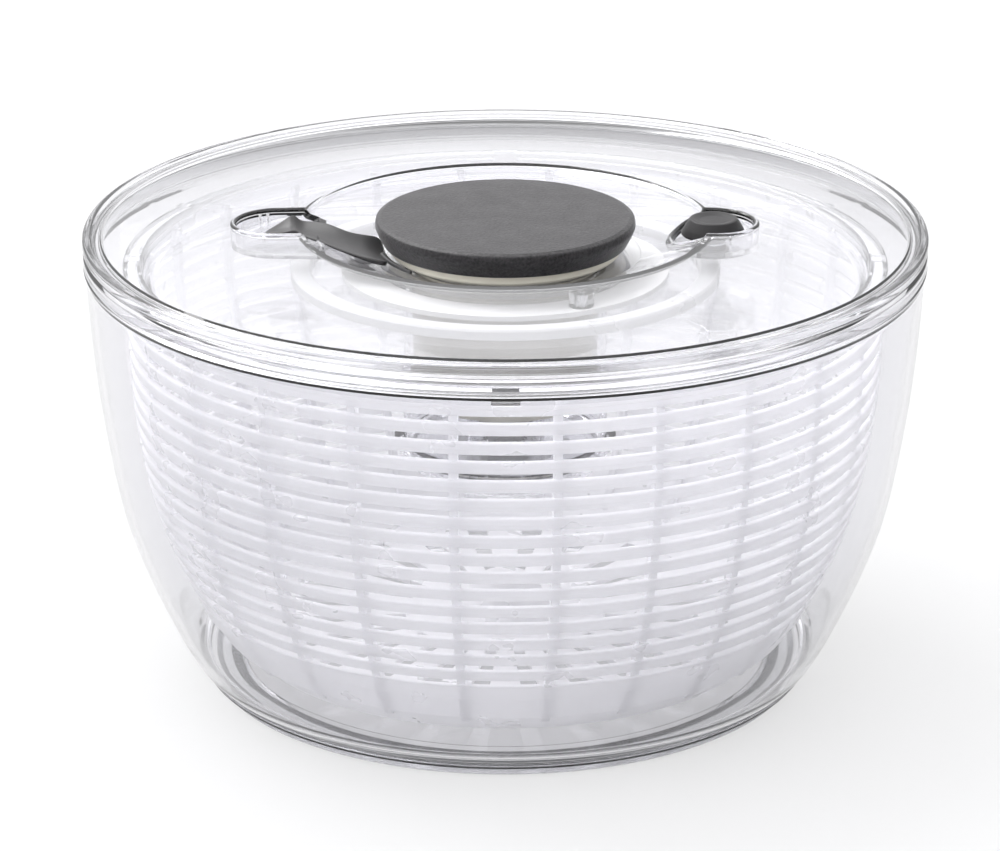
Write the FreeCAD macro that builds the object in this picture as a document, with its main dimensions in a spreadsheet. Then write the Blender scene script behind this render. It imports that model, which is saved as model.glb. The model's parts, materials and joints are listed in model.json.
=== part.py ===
import FreeCAD, Part
import math
import os
import re
import Sketcher

# Salad spinner with a push knob: a clear bowl, a slatted basket that turns in it, and a clear lid that
# carries the knob, the helical drive, the drive disc, a lock lever and a brake.
# Frame: millimetres, +Z up, origin at the centre of the base on the table, turning axis along Z.
# The lock lever is towards -X and the brake button towards +X. The knob is pressed down and locked.

doc = FreeCAD.newDocument("salad_spinner")

SIZES = [
    # bowl and its base ring
    ("foot_radius", 97.0, "outer radius of the non-slip ring on the table"),
    ("foot_width", 9.0, "radial width of the non-slip ring"),
    ("foot_height", 2.6, "height of the non-slip ring"),
    ("bowl_floor", 6.6, "top of the bowl's floor"),
    ("bowl_wall", 2.4, "thickness of the bowl's wall and floor"),
    ("bowl_low_radius", 99.4, "outer radius where the bowl's wall starts"),
    ("bowl_low_height", 3.6, "height where the bowl's wall starts"),
    ("bowl_knee_radius", 118.6, "outer radius at the knee of the wall"),
    ("bowl_knee_height", 40.0, "height of the knee of the wall"),
    ("bowl_side_radius", 130.2, "outer radius halfway up the side"),
    ("bowl_side_height", 90.0, "height of that point"),
    ("bowl_mouth_radius", 134.4, "outer radius just under the rim band"),
    ("rim_band_height", 138.0, "underside of the rim band"),
    ("rim_radius", 134.9, "outer radius of the rim band"),
    ("rim_inner_radius", 131.6, "inner radius of the bowl's rim"),
    ("rim_height", 144.0, "top of the bowl's rim"),
    ("pivot_radius", 3.0, "radius of the pivot pin"),
    ("pivot_height", 24.0, "top of the pivot pin"),
    ("boss_radius", 6.5, "radius of the boss that holds the pivot pin"),
    ("boss_height", 15.0, "top of that boss"),
    # basket
    ("basket_radius", 121.3, "outer radius of the basket at its rim"),
    ("basket_flare", 30.0, "how far the wall comes in at the bottom"),
    ("basket_bottom", 12.0, "underside of the basket's foot"),
    ("basket_top", 134.0, "top of the basket's rim"),
    ("wall_start", 130.0, "height where the wall starts to come in"),
    ("wall_depth", 118.0, "height over which it comes in"),
    ("wall_power", 2.8, "how late it comes in"),
    ("slat_pitch", 6.1, "distance from gap to gap"),
    ("slat_gap", 2.2, "height of a gap"),
    ("slat_thickness", 2.2, "thickness of a slat"),
    ("gap_top", 126.5, "height of the middle of the top gap"),
    ("rib_depth", 4.6, "how deep the ribs reach in from the wall's outside"),
    ("rib_angle", 1.35, "angle that one rib spans"),
    ("basket_floor", 15.4, "top of the basket's floor"),
    ("cone_radius", 18.0, "outer radius of the floor's centre cone"),
    ("cone_height", 28.0, "top of the centre cone"),
    # lid
    ("lid_radius", 135.0, "outer radius of the lid"),
    ("lid_top", 148.3, "top of the lid's plate at its rim"),
    ("lid_crown", 149.6, "top of the lid's plate round the sunk middle"),
    ("lid_plate", 2.0, "thickness of the lid's plate"),
    ("lip_radius", 129.0, "where the shallow groove inside the lip starts"),
    ("skirt_radius", 131.2, "outer radius of the skirt that drops into the bowl"),
    ("skirt_bottom", 140.8, "lower edge of that skirt"),
    ("dish_radius", 65.3, "radius of the step round the sunk middle"),
    ("dish_step", 1.3, "height of that step"),
    ("well_radius", 43.4, "radius of the knob's well"),
    ("well_floor", 139.9, "floor of the knob's well"),
    ("collar_bottom", 136.2, "lower edge of the collar that guides the knob"),
    ("ear_floor", 142.0, "floor of the two ears"),
    ("ear_radius", 13.0, "inner radius of the two ears"),
    ("lever_ear_across", 73.3, "distance of the lock lever's ear from the axis"),
    ("lever_ear_start", 60.0, "distance at which the lock lever's ear opens into the sunk middle"),
    ("brake_across", 66.6, "distance of the brake button from the axis"),
    ("ear_wall", 1.6, "wall of the two ears"),
    ("post_circle", 47.5, "radius of the circle of three screw posts"),
    ("post_radius", 4.0, "radius of a screw post"),
    ("screw_radius", 1.4, "radius of a screw's shank"),
    # knob and plunger
    ("knob_radius", 41.8, "radius of the knob"),
    ("knob_top", 152.0, "top of the knob"),
    ("knob_bottom", 143.6, "lower edge of the knob's cap"),
    ("flange_radius", 37.0, "radius of the flange under the knob"),
    ("flange_bottom", 140.1, "underside of that flange"),
    ("sleeve_radius", 30.0, "outer radius of the plunger's sleeve"),
    ("sleeve_wall", 1.6, "wall of the sleeve"),
    ("sleeve_bottom", 93.0, "lower edge of the sleeve"),
    ("tube_radius", 8.6, "outer radius of the plunger's tube"),
    ("tube_bore", 6.5, "inner radius of that tube"),
    ("tube_bottom", 89.0, "where the tube ends and the follower nut starts"),
    ("nut_bottom", 82.0, "lower end of the follower nut"),
    ("spring_radius", 10.2, "mean radius of the return spring"),
    ("spring_wire", 1.3, "wire diameter of the return spring"),
    ("spring_low", 77.0, "lower end of the return spring"),
    ("spring_high", 137.4, "upper end of the return spring"),
    ("spring_turns", 8.0, "turns of the return spring"),
    # spindle and one-way clutch
    ("spindle_lead", 30.0, "rise of the helix in one turn"),
    ("spindle_core", 3.6, "core radius of the spindle"),
    ("spindle_radius", 5.6, "outer radius of the spindle's two threads"),
    ("spindle_low", 72.8, "lower end of the threads"),
    ("spindle_rise", 60.0, "length of the threads"),
    ("thread_height", 10.4, "height of one thread"),
    ("ratchet_radius", 15.0, "outer radius of the ratchet wheel"),
    ("ratchet_low", 68.2, "underside of the ratchet wheel"),
    ("ratchet_high", 72.0, "top of the ratchet wheel"),
    # drive cup and disc
    ("cup_radius", 33.0, "outer radius of the drive cup"),
    ("cup_wall", 1.8, "wall of the drive cup"),
    ("cup_bottom", 78.0, "lower edge of the drive cup"),
    ("cup_flange_radius", 40.0, "radius of the flange that the cup hangs from"),
    ("cup_flange_low", 133.6, "underside of that flange"),
    ("cup_flange_high", 135.4, "top of that flange"),
    ("cup_base_radius", 36.0, "radius of the flared cup base"),
    ("cup_base_low", 65.0, "lowest point of the cup base"),
    ("bearing_low", 131.5, "underside of the bearing ring"),
    ("bearing_high", 133.4, "top of the bearing ring"),
    ("bearing_radius", 52.5, "outer radius of the bearing ring"),
    ("core_radius", 12.6, "outer radius of the clear core tube"),
    ("disc_low", 128.4, "underside of the drive disc's web"),
    ("disc_web", 1.8, "thickness of the drive disc's web"),
    ("disc_radius", 123.0, "outer radius of the drive disc"),
    ("disc_high", 136.8, "top of the drive disc's rim"),
    ("track_radius", 69.0, "outer radius of the brake track"),
    ("track_width", 6.6, "radial width of the brake track"),
    ("track_high", 134.0, "top of the brake track"),
    ("lug_width", 8.0, "width of a drive lug"),
    # brake
    ("brake_top_radius", 7.4, "radius of the brake button's top"),
    ("brake_base_radius", 10.3, "radius of the brake button's base"),
    ("brake_top", 151.0, "top of the brake button"),
    ("brake_skirt", 145.6, "lower edge of the brake button"),
    ("stem_radius", 4.0, "radius of the brake stem"),
    ("stem_bottom", 138.4, "lower end of the brake stem"),
    ("pad_bottom", 137.0, "underside of the brake pad"),
    ("pad_radius", 5.2, "radius of the brake pad"),
    ("brake_wire", 0.6, "wire diameter of the brake spring"),
    ("brake_turns", 3.0, "turns of the brake spring"),
    # lock lever
    ("blade_radius", 38.4, "inner radius of the lever's blade"),
    ("blade_bottom", 140.5, "underside of the lever's blade"),
    ("lever_thickness", 2.4, "thickness of the lever's arm"),
    # clearances
    ("running", 0.06, "radial clearance of a turning or sliding fit"),
    ("gap", 0.3, "clearance between other facing surfaces"),
]
RIB_COUNT = 24
GAP_COUNT = 16
SCREW_COUNT = 3
LUG_COUNT = 4
TOOTH_COUNT = 12
PAWL_COUNT = 3

sheet = doc.addObject("Spreadsheet::Sheet", "Sizes")
for row, (alias, size, note) in enumerate(SIZES, start=1):
    sheet.set(f"A{row}", note)
    sheet.set(f"B{row}", str(size))
    sheet.setAlias(f"B{row}", alias)
doc.recompute()
ALIASES = {alias for alias, size, note in SIZES}


def bound(text):
    """The expression in text, with each size's name turned into a reference to its cell."""
    return re.sub(r"[a-z_]+", lambda word: "Sizes." + word[0] if word[0] in ALIASES else word[0], text)


def value(text):
    """The number that an expression has with the present sizes."""
    found = sheet.evalExpression(bound(text))
    return float(getattr(found, "Value", found))


def new_body(label, across=None, up=None):
    """An empty body. across moves it along X and up along Z."""
    body = doc.addObject("PartDesign::Body", label)
    body.Label = label
    if across:
        body.setExpression(".Placement.Base.x", bound(across))
    if up:
        body.setExpression(".Placement.Base.z", bound(up))
    return body


def origin_of(body, role):
    return next(item for item in body.Origin.OriginFeatures if item.Role == role)


def new_sketch(body, plane="XZ_Plane", lift=None):
    """A sketch on one of the body's origin planes, lifted along the plane's normal."""
    sketch = body.newObject("Sketcher::SketchObject", body.Label + "_outline")
    sketch.AttachmentSupport = [(origin_of(body, plane), "")]
    sketch.MapMode = "FlatFace"
    if lift:
        sketch.setExpression(".AttachmentOffset.Base.z", bound(lift))
    return sketch


def dimension(sketch, kind, geometry, point, text):
    """One driving dimension from the origin to a point, bound to an expression."""
    number = value(text)
    if abs(number) < 1e-9:
        axis = -2 if kind == "DistanceX" else -1
        sketch.addConstraint(Sketcher.Constraint("PointOnObject", geometry, point, axis))
        return
    index = sketch.addConstraint(Sketcher.Constraint(kind, geometry, point, number))
    sketch.setExpression(f"Constraints[{index}]", bound(text))


def arc_between(start, end, radius):
    """The arc of that radius from start to end: it turns left for a positive radius, right for a negative."""
    chord = end - start
    height = math.sqrt(radius**2 - (chord.Length / 2) ** 2)
    left = FreeCAD.Vector(-chord.y, chord.x, 0).normalize()
    centre = (start + end) / 2 + left * (height if radius > 0 else -height)
    circle = Part.Circle(centre, FreeCAD.Vector(0, 0, 1), abs(radius))
    first, last = (start, end) if radius > 0 else (end, start)
    return Part.ArcOfCircle(circle, circle.parameter(first), circle.parameter(last))


def add_loop(sketch, corners):
    """A closed outline through corners. A corner is (across, up) or (across, up, radius of the arc that
    leaves it), all expressions."""
    points = [FreeCAD.Vector(value(c[0]), value(c[1]), 0) for c in corners]
    ends = []
    for i, corner in enumerate(corners):
        start, end = points[i], points[(i + 1) % len(points)]
        if len(corner) == 2:
            index = sketch.addGeometry(Part.LineSegment(start, end))
            ends.append((index, 1, 2))
            continue
        radius = value(corner[2])
        index = sketch.addGeometry(arc_between(start, end, radius))
        ends.append((index, 1, 2) if radius > 0 else (index, 2, 1))
    for i, (index, start_point, end_point) in enumerate(ends):
        next_index, next_start, next_end = ends[(i + 1) % len(ends)]
        sketch.addConstraint(
            Sketcher.Constraint("Coincident", index, end_point, next_index, next_start)
        )
        dimension(sketch, "DistanceX", index, start_point, corners[i][0])
        dimension(sketch, "DistanceY", index, start_point, corners[i][1])
        if len(corners[i]) == 3:
            text = corners[i][2].lstrip("-")
            fixed = sketch.addConstraint(Sketcher.Constraint("Radius", index, value(text)))
            sketch.setExpression(f"Constraints[{fixed}]", bound(text))


def add_circle(sketch, radius, across="0", along="0"):
    """A circle of that radius at (across, along)."""
    centre = FreeCAD.Vector(value(across), value(along), 0)
    index = sketch.addGeometry(Part.Circle(centre, FreeCAD.Vector(0, 0, 1), value(radius)))
    dimension(sketch, "DistanceX", index, 3, across)
    dimension(sketch, "DistanceY", index, 3, along)
    fixed = sketch.addConstraint(Sketcher.Constraint("Radius", index, value(radius)))
    sketch.setExpression(f"Constraints[{fixed}]", bound(radius))


def revolve(body, loops, angle=None, cut=False):
    """The outlines turned about Z: the whole way round, or by an angle centred on the XZ plane."""
    sketch = new_sketch(body)
    for corners in loops:
        add_loop(sketch, corners)
    feature = body.newObject("PartDesign::Groove" if cut else "PartDesign::Revolution", body.Label + "_turned")
    feature.Profile = sketch
    feature.ReferenceAxis = (sketch, ["V_Axis"])
    feature.Angle = 360
    if angle:
        feature.Midplane = True
        feature.setExpression("Angle", bound(angle))
    return feature


def turned(label, corners, across=None):
    """A body made by turning one outline about Z, or about an axis that is across from it."""
    body = new_body(label, across)
    revolve(body, [corners])
    return body


def extrude(body, draw, low, length, cut=False):
    """A pad up from height low, or a pocket down from height low, of what draw puts in a sketch."""
    sketch = new_sketch(body, "XY_Plane", low)
    draw(sketch)
    feature = body.newObject("PartDesign::Pocket" if cut else "PartDesign::Pad", body.Label + "_prism")
    feature.Profile = sketch
    feature.setExpression("Length", bound(length))
    return feature


def around(body, feature, count):
    """Repeats a feature count times round Z."""
    pattern = body.newObject("PartDesign::PolarPattern", body.Label + "_pattern")
    pattern.Originals = [feature]
    pattern.Axis = (origin_of(body, "Z_Axis"), [""])
    pattern.Angle = 360
    pattern.Occurrences = count
    body.Tip = pattern
    return pattern


def ring(inner, outer, low, high):
    """The corners of a rectangular section."""
    return [(inner, low), (outer, low), (outer, high), (inner, high)]


def make_base_ring():
    """The soft ring that the bowl stands on, with a tongue that locks into the bowl's foot."""
    inner = "foot_radius - foot_width"
    tongue = "foot_height + 1.4"
    return turned("nonslip_base_ring", [
        (inner, "0.5"), (inner + " + 0.5", "0"), ("foot_radius - 0.8", "0"), ("foot_radius", "0.8"),
        ("foot_radius", "foot_height"), ("foot_radius - 3", "foot_height"), ("foot_radius - 3", tongue),
        ("foot_radius - 6", tongue), ("foot_radius - 6", "foot_height"), (inner, "foot_height"),
    ])


def make_bowl():
    """The clear bowl: a foot with a groove for the base ring, a curved wall, a banded rim and a centre boss."""
    inner_foot = "foot_radius - foot_width"
    tongue = "foot_height + 1.4"
    under_floor = "bowl_floor - bowl_wall"
    inner_knee = ("bowl_knee_radius - bowl_wall + 0.1", "bowl_knee_height + 0.9")
    return turned("bowl", [
        ("0", under_floor), (inner_foot + " - 1.5", under_floor), (inner_foot, "foot_height"),
        ("foot_radius - 6", "foot_height"), ("foot_radius - 6", tongue), ("foot_radius - 3", tongue),
        ("foot_radius - 3", "foot_height"), ("foot_radius + 1.4", "foot_height"),
        ("bowl_low_radius", "bowl_low_height", "150"),
        ("bowl_knee_radius", "bowl_knee_height", "150"),
        ("bowl_side_radius", "bowl_side_height", "480"),
        ("bowl_mouth_radius", "rim_band_height"), ("rim_radius", "rim_band_height + 0.6"),
        ("rim_radius", "rim_height - 0.6"), ("rim_radius - 0.6", "rim_height"),
        ("rim_inner_radius", "rim_height"), ("rim_inner_radius", "rim_band_height", "-480"),
        ("bowl_side_radius - bowl_wall", "bowl_side_height", "-148"),
        (*inner_knee, "-148"),
        ("bowl_low_radius - 0.6", "bowl_floor + 2.6"), ("bowl_low_radius - 3.4", "bowl_floor"),
        ("boss_radius + 1.5", "bowl_floor"), ("boss_radius", "bowl_floor + 1.5"),
        ("boss_radius - 1", "boss_height"), ("pivot_radius", "boss_height"),
        ("pivot_radius", "bowl_floor"), ("0", "bowl_floor"),
    ])


def make_pivot_pin():
    """The pin that stands in the bowl's boss and carries the basket on its blunt tip."""
    return turned("pivot_pin", [
        ("0", "bowl_floor"), ("pivot_radius", "bowl_floor"), ("pivot_radius", "pivot_height - 1"),
        ("pivot_radius - 1.2", "pivot_height"), ("0", "pivot_height"),
    ])


def wall_radius(height):
    """The outer radius of the basket's wall at a height."""
    return f"basket_radius - basket_flare * ((wall_start - ({height})) / wall_depth) ^ wall_power"


def make_basket():
    """The slatted basket: a floor with a centre cone on the pivot, upright ribs, ring slats and a rim."""
    body = new_body("basket")
    foot = wall_radius("basket_bottom")
    floor_edge = wall_radius("basket_floor + 4")
    bore = "pivot_radius + running"
    low_gap = f"gap_top - {GAP_COUNT - 1} * slat_pitch - slat_gap / 2"
    revolve(body, [[
        (bore, "boss_height + 1"), ("boss_radius + 0.5", "boss_height + 1"),
        ("cone_radius - 4", "basket_floor - 1.8"), (foot + " - 8", "basket_floor - 1.8"),
        (foot + " - 4.5", "basket_bottom"), (foot + " - 1", "basket_bottom"), (foot, "basket_bottom + 1"),
        (floor_edge, "basket_floor + 4"), (wall_radius(low_gap), low_gap),
        (wall_radius(low_gap) + " - slat_thickness", low_gap),
        (floor_edge + " - slat_thickness", "basket_floor + 4"), (floor_edge + " - 6", "basket_floor"),
        ("cone_radius", "basket_floor"), ("9", "cone_height - 1"), ("8", "cone_height"),
        ("0", "cone_height"), ("0", "pivot_height + 0.1"), (bore, "pivot_height + 0.1"),
    ]])
    slot = extrude(body, draw_floor_slot, "basket_floor", "4", cut=True)
    around(body, slot, RIB_COUNT)
    heights = [f"basket_floor + 1 + {share} * (basket_top - basket_floor - 2)" for share in (
        0, 0.06, 0.12, 0.2, 0.3, 0.42, 0.56, 0.74)]
    straight = "basket_radius"
    outer = [(wall_radius(z) + " - 1.1", z) for z in heights] + [(straight + " - 1.1", "wall_start")]
    inner = [(wall_radius(z) + " - rib_depth", z) for z in heights] + [(straight + " - rib_depth", "wall_start")]
    rib = revolve(body, [outer + inner[::-1]], angle="rib_angle")
    around(body, rib, RIB_COUNT)
    rings = []
    for index in range(GAP_COUNT - 1):
        low = f"gap_top - {index + 1} * slat_pitch + slat_gap / 2"
        high = f"gap_top - {index} * slat_pitch - slat_gap / 2"
        rings.append([
            (wall_radius(low) + " - slat_thickness", low), (wall_radius(low), low),
            (wall_radius(high), high), (wall_radius(high) + " - slat_thickness", high),
        ])
    revolve(body, rings)
    revolve(body, [[
        ("basket_radius - 2.6", "gap_top + slat_gap / 2"), ("basket_radius", "gap_top + slat_gap / 2"),
        ("basket_radius", "basket_top"), ("basket_radius - 2.6", "basket_top"),
    ]])
    notch = extrude(
        body, lambda sketch: draw_lug(sketch, "lug_width / 2 + gap", "basket_radius - 4", "basket_radius + 2"),
        "basket_top", "3", cut=True,
    )
    around(body, notch, LUG_COUNT)
    return body


def draw_floor_slot(sketch):
    """One radial drain slot in the basket's floor."""
    add_loop(sketch, [("32", "-1.4"), ("74", "-2.2"), ("74", "2.2"), ("32", "1.4")])


def draw_lug(sketch, half, inner, outer):
    """A rectangle across the +X axis from the inner to the outer distance."""
    add_loop(sketch, [(inner, f"-({half})"), (outer, f"-({half})"), (outer, half), (inner, half)])


def make_lid_cover():
    """The clear lid: a flat plate with a rolled lip, a sunk middle, the knob's well and collar, a skirt,
    an ear for the lock lever, an ear for the brake and three posts for the bearing ring."""
    body = new_body("lid_cover")
    bore = "sleeve_radius + running"
    dish_top = "lid_crown - dish_step"
    revolve(body, [[
        ("skirt_radius - 2", "skirt_bottom"), ("skirt_radius", "skirt_bottom"),
        ("skirt_radius", "rim_height + 0.1"), ("lid_radius - 0.3", "rim_height + 0.1"),
        ("lid_radius", "rim_height + 0.6"), ("lid_radius", "lid_top - 2.2", "2.2"),
        ("lid_radius - 1.8", "lid_top", "4"), ("lip_radius + 3", "lid_top - 0.7"),
        ("lip_radius + 0.6", "lid_top - 0.7"), ("lip_radius", "lid_top"),
        ("dish_radius", "lid_crown"), ("dish_radius - 0.4", dish_top),
        ("well_radius", "well_floor"), (bore, "well_floor"), (bore, "collar_bottom"),
        (bore + " + 1.8", "collar_bottom"), (bore + " + 1.8", "well_floor - lid_plate"),
        ("well_radius + 0.8", "well_floor - lid_plate"), ("dish_radius + 0.8", f"{dish_top} - lid_plate"),
        ("dish_radius + 1.8", "lid_crown - lid_plate"), ("skirt_radius - 2", "lid_top - lid_plate"),
    ]])
    ear_height = "lid_top - 0.8 - ear_floor + ear_wall"
    extrude(body, lambda sketch: draw_lever_ear(sketch, "ear_radius + ear_wall", "lever_ear_start - ear_wall"),
            "ear_floor - ear_wall", ear_height)
    extrude(body, lambda sketch: add_circle(sketch, "ear_radius + ear_wall", "brake_across"),
            "ear_floor - ear_wall", ear_height)
    revolve(body, [[
        ("well_radius", "well_floor"), ("dish_radius - 0.4", dish_top), ("dish_radius", "lid_crown"),
        ("dish_radius", "lid_crown + 1"), ("well_radius", "lid_crown + 1"),
    ]], cut=True)
    extrude(body, lambda sketch: draw_lever_ear(sketch, "ear_radius", "lever_ear_start"),
            "lid_crown + 1", "lid_crown - ear_floor + 1", cut=True)
    extrude(body, lambda sketch: add_circle(sketch, "ear_radius", "brake_across"),
            "lid_crown + 1", "lid_crown - ear_floor + 1", cut=True)
    extrude(body, lambda sketch: add_circle(sketch, "stem_radius + running", "brake_across"),
            "lid_crown + 1", "20", cut=True)
    post = extrude(body, lambda sketch: add_circle(sketch, "post_radius", "-post_circle"),
                   "bearing_high", "well_floor - bearing_high")
    around(body, post, SCREW_COUNT)
    hole = extrude(body, lambda sketch: add_circle(sketch, "screw_radius", "-post_circle"),
                   "well_floor - 1", "well_floor - 1 - bearing_high + 1", cut=True)
    around(body, hole, SCREW_COUNT)
    return body


def draw_lever_ear(sketch, radius, start):
    """The lock lever's ear from above: two straight sides that end in a half circle."""
    add_loop(sketch, [
        (f"-({start})", f"-({radius})"), (f"-({start})", radius), ("-lever_ear_across", radius, radius),
        (f"-lever_ear_across - ({radius})", "0", radius), ("-lever_ear_across", f"-({radius})"),
    ])


def make_bearing_ring():
    """The ring under the lid that the drive cup's flange turns on."""
    body = new_body("bearing_ring")
    revolve(body, [ring("cup_radius + running", "bearing_radius", "bearing_low", "bearing_high")])
    hole = extrude(body, lambda sketch: add_circle(sketch, "screw_radius", "-post_circle"),
                   "bearing_high", "10", cut=True)
    around(body, hole, SCREW_COUNT)
    return body


def make_bearing_screws():
    """The three pan-head screws that hold the bearing ring to the lid's posts."""
    body = new_body("bearing_screws")
    shank = extrude(body, lambda sketch: add_circle(sketch, "screw_radius", "-post_circle"),
                    "bearing_low", "6.4")
    around(body, shank, SCREW_COUNT)
    head = extrude(body, lambda sketch: add_circle(sketch, "screw_radius * 1.9", "-post_circle"),
                   "bearing_low - 0.9", "0.9")
    around(body, head, SCREW_COUNT)
    return body


def make_knob_cap():
    """The soft black cap: a flat disc with a rounded edge, hollow below for the knob base."""
    return turned("knob_cap", [
        ("0", "flange_bottom + 7.4"), ("flange_radius + 1.4", "flange_bottom + 7.4"),
        ("flange_radius + 1.4", "knob_bottom"), ("knob_radius - 3", "knob_bottom", "6"),
        ("knob_radius", "knob_bottom + 4", "5"), ("knob_radius - 1.6", "knob_top - 0.6", "2"),
        ("knob_radius - 2.6", "knob_top - 0.2"), ("knob_radius - 12", "knob_top"), ("0", "knob_top"),
    ])


def make_knob_base():
    """The cream flange and sleeve under the cap: the sleeve slides in the lid's collar."""
    return turned("knob_base", [
        ("tube_radius", "flange_bottom + 2"), ("tube_radius", "flange_bottom - 2.6"),
        ("tube_radius + 4", "flange_bottom - 2.6"), ("tube_radius + 4", "flange_bottom"),
        ("sleeve_radius - sleeve_wall", "flange_bottom"), ("sleeve_radius - sleeve_wall", "sleeve_bottom"),
        ("sleeve_radius", "sleeve_bottom"), ("sleeve_radius", "flange_bottom"),
        ("flange_radius - 0.8", "flange_bottom"), ("flange_radius", "flange_bottom + 0.8"),
        ("flange_radius", "knob_bottom"), ("flange_radius + 1.4", "knob_bottom"),
        ("flange_radius + 1.4", "flange_bottom + 7.4"), ("0", "flange_bottom + 7.4"),
        ("0", "flange_bottom + 4.4"), ("tube_radius + 4", "flange_bottom + 4.4"),
        ("tube_radius + 4", "flange_bottom + 2"),
    ])


def make_plunger_tube():
    """The tube that carries the follower nut down round the spindle, flanged at its top."""
    return turned("plunger_tube", [
        ("tube_bore", "tube_bottom"), ("tube_radius", "tube_bottom"), ("tube_radius", "flange_bottom + 2"),
        ("tube_radius + 4", "flange_bottom + 2"), ("tube_radius + 4", "flange_bottom + 4.4"),
        ("0", "flange_bottom + 4.4"), ("0", "flange_bottom + 2"), ("tube_bore", "flange_bottom + 1"),
    ])


def make_follower_nut():
    """The nut at the foot of the tube; two holes take the follower pins."""
    body = turned("follower_nut", ring("spindle_radius + gap", "tube_radius", "nut_bottom", "tube_bottom"))
    sketch = new_sketch(body, "YZ_Plane", "-tube_radius - 1")
    add_circle(sketch, "1", "0", "(nut_bottom + tube_bottom) / 2")
    hole = body.newObject("PartDesign::Pocket", "follower_nut_hole")
    hole.Profile = sketch
    hole.Reversed = True
    hole.setExpression("Length", bound("2 * tube_radius + 2"))
    return body


def make_follower_pins():
    """Two steel pins that run between the spindle's threads."""
    body = new_body("follower_pins")
    sketch = new_sketch(body, "YZ_Plane", "spindle_core + gap")
    add_circle(sketch, "1", "0", "(nut_bottom + tube_bottom) / 2")
    pin = body.newObject("PartDesign::Pad", "follower_pins_one")
    pin.Profile = sketch
    pin.setExpression("Length", bound("tube_radius - 0.1 - spindle_core - gap"))
    around(body, pin, 2)
    return body


def add_helix(body, sketch, lead, rise):
    """What is in the sketch, swept up along a helix about Z."""
    helix = body.newObject("PartDesign::AdditiveHelix", body.Label + "_helix")
    helix.Profile = sketch
    helix.ReferenceAxis = (sketch, ["V_Axis"])
    helix.Mode = "pitch-height-angle"
    helix.setExpression("Pitch", bound(lead))
    helix.setExpression("Height", bound(rise))
    return helix


def coil(label, radius, wire, low, high, turns, across=None):
    """A round-wire compression spring between two heights."""
    body = new_body(label, across)
    sketch = new_sketch(body)
    add_circle(sketch, f"{wire} / 2", radius, f"{low} + {wire} / 2")
    rise = f"({high} - {low} - {wire})"
    add_helix(body, sketch, f"{rise} / {turns}", rise)
    return body


def make_spindle():
    """The spindle: a round core with two helical threads, a square foot and a journal."""
    body = turned("helical_spindle", [
        ("0", "cup_base_low + 1.2"), ("2.4", "cup_base_low + 1.2"), ("2.4", "ratchet_low - 0.8"),
        ("spindle_radius", "ratchet_low - 0.8"), ("spindle_radius", "ratchet_low"), ("4.4", "ratchet_low"),
        ("4.4", "ratchet_high"), ("spindle_core", "ratchet_high"),
        ("spindle_core", "spindle_low + spindle_rise + 1.4"), ("0", "spindle_low + spindle_rise + 1.4"),
    ])
    sketch = new_sketch(body)
    add_loop(sketch, [
        ("spindle_core - 1", "spindle_low"), ("spindle_radius", "spindle_low"),
        ("spindle_radius", "spindle_low + thread_height"),
        ("spindle_core - 1", "spindle_low + thread_height"),
    ])
    thread = add_helix(body, sketch, "spindle_lead", "spindle_rise - thread_height")
    around(body, thread, 2)
    return body


def make_ratchet_wheel():
    """The saw-toothed wheel on the spindle's foot."""
    body = new_body("ratchet_wheel")
    revolve(body, [ring("4.4", "ratchet_radius - 2.2", "ratchet_low", "ratchet_high")])
    tooth = extrude(body, draw_tooth, "ratchet_low", "ratchet_high - ratchet_low")
    around(body, tooth, TOOTH_COUNT)
    return body


def draw_tooth(sketch):
    """One saw tooth: a steep face and a long back."""
    add_loop(sketch, [
        ("ratchet_radius - 3.4", "-3.2"), ("ratchet_radius - 0.1", "0"), ("ratchet_radius - 0.3", "0.6"),
        ("ratchet_radius - 3.4", "0.6"),
    ])


def make_thrust_washer():
    """The washer between the spindle's shoulder and the cup base."""
    return turned("thrust_washer", ring("2.5", "8", "cup_base_low + 1.9", "ratchet_low - 0.9"))


def make_pawls():
    """The pawls that the ratchet wheel pushes one way, on short pegs in the cup base."""
    body = new_body("ratchet_pawls")
    pawl = extrude(body, draw_pawl, "ratchet_low", "ratchet_high - ratchet_low - 0.2")
    around(body, pawl, PAWL_COUNT)
    return body


def draw_pawl(sketch):
    """One pawl: a nose just outside the teeth and a round heel on its peg."""
    add_loop(sketch, [
        ("ratchet_radius + gap", "-1"), ("ratchet_radius + 2", "-1.4"), ("ratchet_radius + 6.4", "6.6", "1.9"),
        ("ratchet_radius + 3.4", "8.8"), ("ratchet_radius + 0.5", "1"),
    ])


def make_drive_cup():
    """The clear cup that hangs in the basket from its flange on the bearing ring."""
    inner = "cup_radius - cup_wall"
    return turned("drive_cup", [
        (inner, "cup_bottom"), ("cup_radius", "cup_bottom"), ("cup_radius", "disc_low - 3.2"),
        ("cup_radius - 0.7", "disc_low - 3.2"), ("cup_radius - 0.7", "disc_low - 1.7"),
        ("cup_radius", "disc_low - 1.7"), ("cup_radius", "cup_flange_low"),
        ("cup_flange_radius", "cup_flange_low"), ("cup_flange_radius", "cup_flange_high"),
        (inner, "cup_flange_high"),
    ])


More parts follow.
